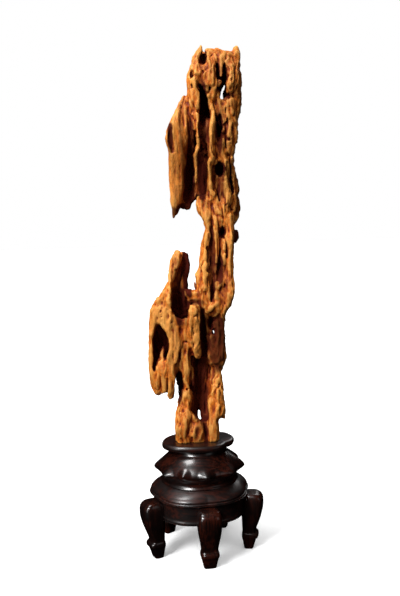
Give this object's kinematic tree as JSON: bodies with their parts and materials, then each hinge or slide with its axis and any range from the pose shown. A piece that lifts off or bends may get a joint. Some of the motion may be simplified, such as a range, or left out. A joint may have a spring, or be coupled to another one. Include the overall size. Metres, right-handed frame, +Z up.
{
  "type": "scholars rock",
  "caption": "Tall fluted and pierced ochre limestone scholar's rock standing in a dark carved hardwood stand with a knobbed drum, lobed apron and cabriole legs.",
  "frame": {"origin": "floor level, under the middle of the whole object's footprint", "axes": "+Z up along the stone's height; the viewed front faces -Y; +X is the viewer's right"},
  "size_m": [0.1739, 0.1741, 0.7002],
  "materials": {
    "limestone": "weathered ochre limestone, lightly waxed, dark in the recesses",
    "hardwood": "dark stained hardwood, rubbed to a gloss"
  },
  "bodies": {
    "root": {"stone": "limestone", "seat_plate": "hardwood", "drum": "hardwood", "shoulder": "hardwood", "apron": "hardwood", "leg_1": "hardwood", "leg_2": "hardwood", "leg_3": "hardwood", "leg_4": "hardwood", "leg_5": "hardwood"}
  },
  "joints": []
}
